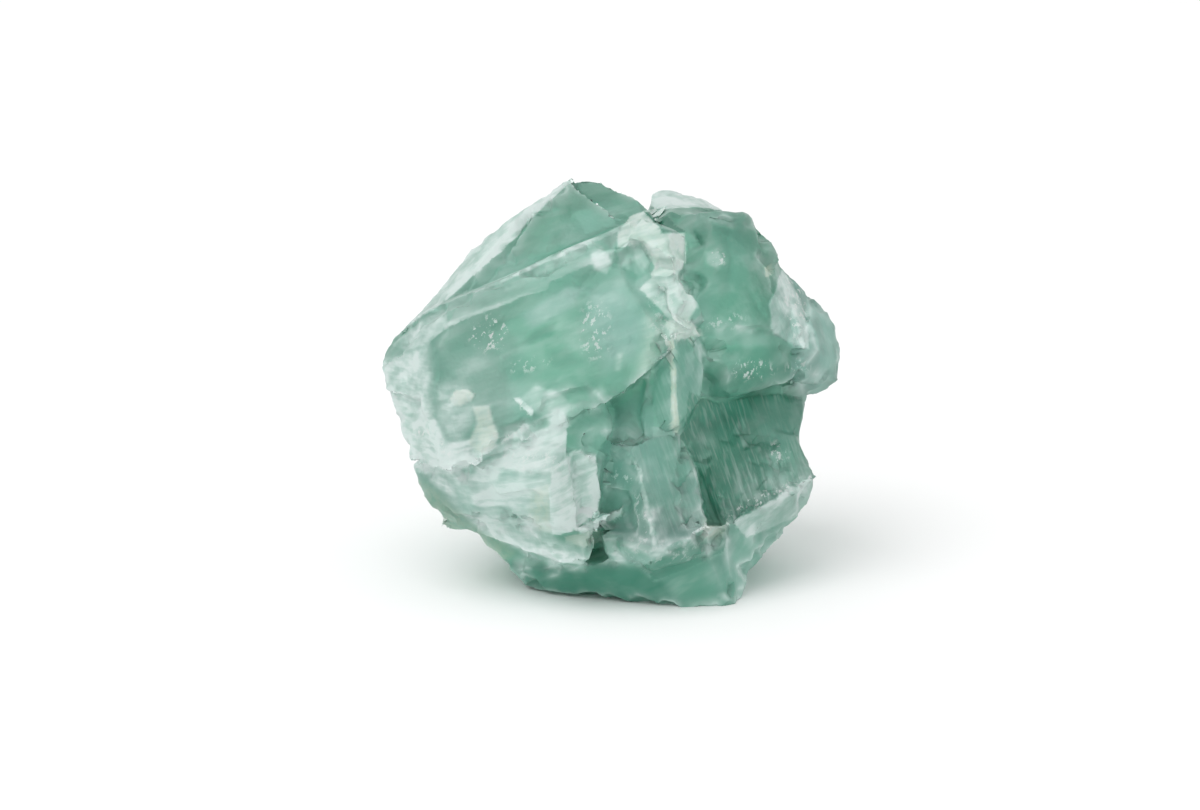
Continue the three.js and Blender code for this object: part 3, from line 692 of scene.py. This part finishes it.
brittle = 1 - CALM * np.maximum(soft, front * patches(seen, UNCHIPPED))
worn = np.exp(-rim / WORN_REACH) * brittle
pale = np.clip(tone, 0, 1)
relief = front * marks["lift"]
relief += SWELL * layered(view, SWELL_SIZE, 1)
for i, across_split in enumerate(CLEAVAGE):
    along_split = view - 0.85 * np.outer(view @ across_split, across_split)
    relief += steps(along_split, TERRACE_SIZE, TERRACE, 20 + i)
relief += GRIT * layered(view, GRIT_SIZE, 4, 2) * (0.4 + pale + worn)
relief += STREAK * noise(fibre, STREAK_SIZE, 5) * streaked
relief -= WEAR * worn * ramp(layered(view, WEAR_SIZE, 11), -0.1, 0.5)
relief *= ramp(co[:, 2] / MM, 0.0, FLAT_BELOW)  # the base stays flat
moved = co + out_dir * relief[:, None] * MM
moved[:, 2] = np.maximum(moved[:, 2], 0)
set_places(mesh, moved)


def store(name, values):
    """A value per vertex, for the material."""
    layer = mesh.attributes.new(name, "FLOAT", "POINT")
    layer.data.foreach_set("value", np.clip(values, 0, 1).astype(np.float32))


store("pale", pale)
# deep green, with the painted shade of the darkest facets
store("deep", -tone)
store("cream", around["cream"])
store("cool", around["cool"])
store("streaked", streaked)
# painted glints, where light catches small fractures
store("painted_glint", around["painted_glint"])
# painted glow of light shining through the thin crystal along the edges
store("thin", np.exp(-((rim / EDGE_GLOW_REACH) ** 2)) * brittle)
store("wear", np.maximum(np.exp(-rim / LINE_REACH), 0.5 * scar) * brittle)
# painted shade in the inner corners, weaker where faces are rounded
store("painted_corner_shade", np.exp(-corner / CORNER_SHADE_REACH) * (1 - 0.5 * soft))
store("low", 1 - ramp(moved[:, 2] / MM, *FOOT_HEIGHT))

lump = bpy.data.objects.new("fluorite_lump", mesh)
bpy.context.scene.collection.objects.link(lump)
mesh.polygons.foreach_set("use_smooth", np.ones(len(mesh.polygons), bool))
mesh.set_sharp_from_angle(angle=SHADE_SHARP)

# The material

material = bpy.data.materials.new("fluorite")
material.use_nodes = True
tree = material.node_tree
bsdf = tree.nodes["Principled BSDF"]
surface = tree.nodes["Material Output"]


def add(kind, links=None, **settings):
    """A node with these settings and input values. Inputs are named or numbered, and may be sockets."""
    made = tree.nodes.new(kind)
    for name, value in settings.items():
        setattr(made, name, value)
    for key, value in (links or {}).items():
        if isinstance(value, bpy.types.NodeSocket):
            tree.links.new(value, made.inputs[key])
        else:
            made.inputs[key].default_value = value
    return made


def attribute(name):
    """A value stored on the mesh."""
    return add("ShaderNodeAttribute", attribute_name=name).outputs["Fac"]


def maths(operation, a, b, clamp=False):
    """The result of an operation on two values."""
    return add("ShaderNodeMath", {0: a, 1: b}, operation=operation, use_clamp=clamp).outputs[0]


def times(*values):
    """The product of values."""
    total = values[0]
    for value in values[1:]:
        total = maths("MULTIPLY", total, value)
    return total


def plus(*values):
    """The sum of values."""
    total = values[0]
    for value in values[1:]:
        total = maths("ADD", total, value)
    return total


def rise(value, low, high, to_low=0.0, to_high=1.0):
    """A smooth rise of a value between two limits."""
    made = add("ShaderNodeMapRange", {0: value, 1: low, 2: high, 3: to_low, 4: to_high})
    made.interpolation_type = "SMOOTHSTEP"
    return made.outputs[0]


def blend(share, a, b):
    """Colour a, with this share of colour b."""
    made = add("ShaderNodeMix", data_type="RGBA")
    for name, value in (("Factor_Float", share), ("A_Color", a), ("B_Color", b)):
        socket = next(s for s in made.inputs if s.identifier == name)
        if isinstance(value, bpy.types.NodeSocket):
            tree.links.new(value, socket)
        elif name == "Factor_Float":
            socket.default_value = value
        else:
            socket.default_value = (*value, 1)
    return next(s for s in made.outputs if s.identifier == "Result_Color")


on_lump = add("ShaderNodeTexCoord").outputs["Object"]


def grain(size, detail=2.0, turn=(0, 0, 0), stretch=(1, 1, 1), rough=0.5):
    """Noise with lumps of this size in millimetres, stretched along turned axes."""
    links = {"Vector": on_lump, "Rotation": turn, "Scale": tuple(size * MM * s for s in stretch)}
    turned = add("ShaderNodeMapping", links, vector_type="TEXTURE").outputs[0]
    links = {"Vector": turned, "Scale": 1.0, "Detail": detail, "Roughness": rough}
    return add("ShaderNodeTexNoise", links).outputs["Fac"]


GREEN = (0.20, 0.52, 0.385)
PALE_GREEN = (0.265, 0.56, 0.455)
DARK_VEIL = (0.13, 0.40, 0.30)
GREY_BLUE = (0.34, 0.54, 0.52)
SHADED_DEEP_GREEN = (0.05, 0.24, 0.165)
CORNER_SHADE_GREEN = (0.10, 0.34, 0.25)
PALE_WHITE = (0.84, 0.94, 0.92)
CREAM = (0.72, 0.77, 0.60)
PAINTED_GLINT_WHITE = (0.93, 0.97, 0.96)
INSIDE = (0.28, 0.72, 0.60, 1)  # colour of the light that passes through
INSIDE_DENSITY = 44.0
CLEAR, CLEAR_FROST = 0.6, 0.4  # share of light let through by clear crystal and by frost
GLOSS, GLOSS_FROST = 0.29, 0.42  # roughness of both

along_bevel = (0.15, -0.5, 0.0)
along_streaks = (-0.5, -0.35, 0.0)
cloud = grain(9.0, 1.0)
veil = grain(2.2, 3.0, turn=along_bevel, stretch=(3.2, 1.0, 1.0), rough=0.55)
haze = grain(2.8, 2.0, turn=(0.4, 0.9, 0.3), stretch=(1.0, 1.0, 2.0))
fine = grain(0.8, 2.0, rough=0.65)
fibres = grain(0.24, 1.0, turn=along_streaks, stretch=(1, 4, 10))
layers = grain(0.42, 2.0, turn=(0.2, -0.3, 0.0), stretch=(9, 3, 1))
sparkle = grain(0.55, 4.0, turn=(0.0, 0.3, 0.0), stretch=(1, 1, 1.7), rough=0.7)
patchy = grain(2.6, 1.0)

cloudy = plus(rise(haze, 0.25, 0.75, 0.62, 1.04), rise(fine, 0.3, 0.7, -0.07, 0.07))
# frost, and the painted light on the pale thin plates
frost_and_painted_light = times(attribute("pale"), rise(layers, 0.35, 0.65, 0.72, 1.12), cloudy)
# share that is neither deep green nor painted shade
shallow_and_lit = maths("SUBTRACT", 1.0, times(attribute("deep"), 0.8))
# painted glow of light through the thin edges
painted_edge_glow = times(attribute("thin"), shallow_and_lit, rise(patchy, 0.35, 0.65, 0.06, 0.28))
edge_line = times(attribute("wear"), rise(patchy, 0.4, 0.65, 0.05, 0.4))
inner = times(shallow_and_lit, plus(rise(veil, 0.48, 0.72), times(rise(haze, 0.5, 0.75), 0.7)), 0.26)
threads = times(attribute("streaked"), rise(fibres, 0.45, 0.75), 0.22)
# painted glints: white specks where light catches small fractures
painted_glint_share = times(attribute("painted_glint"), rise(sparkle, 0.545, 0.6))

# pale share: frost, bruised edges, veils and streaks, with painted light glowing through thin edges and plates
white = maths("ADD", plus(frost_and_painted_light, painted_edge_glow), plus(edge_line, inner, threads), clamp=True)

green = blend(rise(cloud, 0.35, 0.65), GREEN, PALE_GREEN)
green = blend(times(rise(veil, 0.5, 0.3), 0.35), green, DARK_VEIL)
green = blend(times(attribute("cool"), 0.6), green, GREY_BLUE)
# deep green, deepened into painted shade on the darkest facets
green = blend(times(attribute("deep"), rise(haze, 0.3, 0.65, 0.9, 1.05)), green, SHADED_DEEP_GREEN)
# painted shade in the inner corners
green = blend(times(attribute("painted_corner_shade"), 0.3), green, CORNER_SHADE_GREEN)
colour = blend(white, green, PALE_WHITE)
colour = blend(times(attribute("cream"), rise(fine, 0.3, 0.6, 0.3, 0.9)), colour, CREAM)
colour = blend(painted_glint_share, colour, PAINTED_GLINT_WHITE)
tree.links.new(colour, bsdf.inputs["Base Color"])
tree.links.new(rise(white, 0.0, 0.9, GLOSS, GLOSS_FROST), bsdf.inputs["Roughness"])
less_clear = plus(times(attribute("deep"), 0.1), times(attribute("low"), 0.35))
clear = maths("SUBTRACT", rise(white, 0.0, 1.0, CLEAR, CLEAR_FROST), less_clear)
tree.links.new(clear, bsdf.inputs["Transmission Weight"])
bsdf.inputs["IOR"].default_value = 1.434

absorption = add("ShaderNodeVolumeAbsorption", {"Color": INSIDE, "Density": INSIDE_DENSITY})
tree.links.new(absorption.outputs[0], surface.inputs["Volume"])

bump_height = plus(
    times(grain(0.35, 0.0), 0.3),
    times(fibres, attribute("streaked")),
    times(layers, attribute("pale"), 0.6),
)
bump = add("ShaderNodeBump", {"Strength": 0.35, "Distance": 0.0002, "Height": bump_height})
tree.links.new(bump.outputs[0], bsdf.inputs["Normal"])
mesh.materials.append(material)

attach(lump, "root")
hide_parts("fluorite")

# Floor, light and camera

floor_mesh = bpy.data.meshes.new("floor")
floor_corners = [(-3, -3, 0), (3, -3, 0), (3, 3, 0), (-3, 3, 0)]
floor_mesh.from_pydata(floor_corners, [], [(0, 1, 2, 3)])
floor = bpy.data.objects.new("floor", floor_mesh)
bpy.context.scene.collection.objects.link(floor)
paper = bpy.data.materials.new("paper")
paper.use_nodes = True
paper_bsdf = paper.node_tree.nodes["Principled BSDF"]
paper_bsdf.inputs["Base Color"].default_value = (0.9, 0.9, 0.9, 1)
paper_bsdf.inputs["Roughness"].default_value = 0.9
floor_mesh.materials.append(paper)

world = bpy.data.worlds.new("studio")
world.use_nodes = True
backdrop = world.node_tree.nodes["Background"]
backdrop.inputs["Color"].default_value = (1, 1, 1, 1)
backdrop.inputs["Strength"].default_value = 0.9
bpy.context.scene.world = world

# A softbox at the upper left that faces the lump's middle
light = bpy.data.lights.new("key", "AREA")
light.size = 0.9
light.energy = 5
lamp = bpy.data.objects.new("key", light)
bpy.context.scene.collection.objects.link(lamp)
lamp.location = (-0.4, -0.35, 0.9)
lamp.rotation_euler = (Vector((0, 0, 0.02)) - lamp.location).to_track_quat("-Z", "Y").to_euler()

camera = bpy.data.cameras.new("camera")
camera.lens = 200
camera.sensor_width = 36
viewer = bpy.data.objects.new("camera", camera)
bpy.context.scene.collection.objects.link(viewer)
viewer.location = row_place(CAMERA_ACROSS, CAMERA_UP, CAMERA_OUT)
viewer.rotation_euler = (math.pi / 2 - LEAN, 0, 0)
bpy.context.scene.camera = viewer
bpy.context.scene.view_settings.view_transform = "Standard"
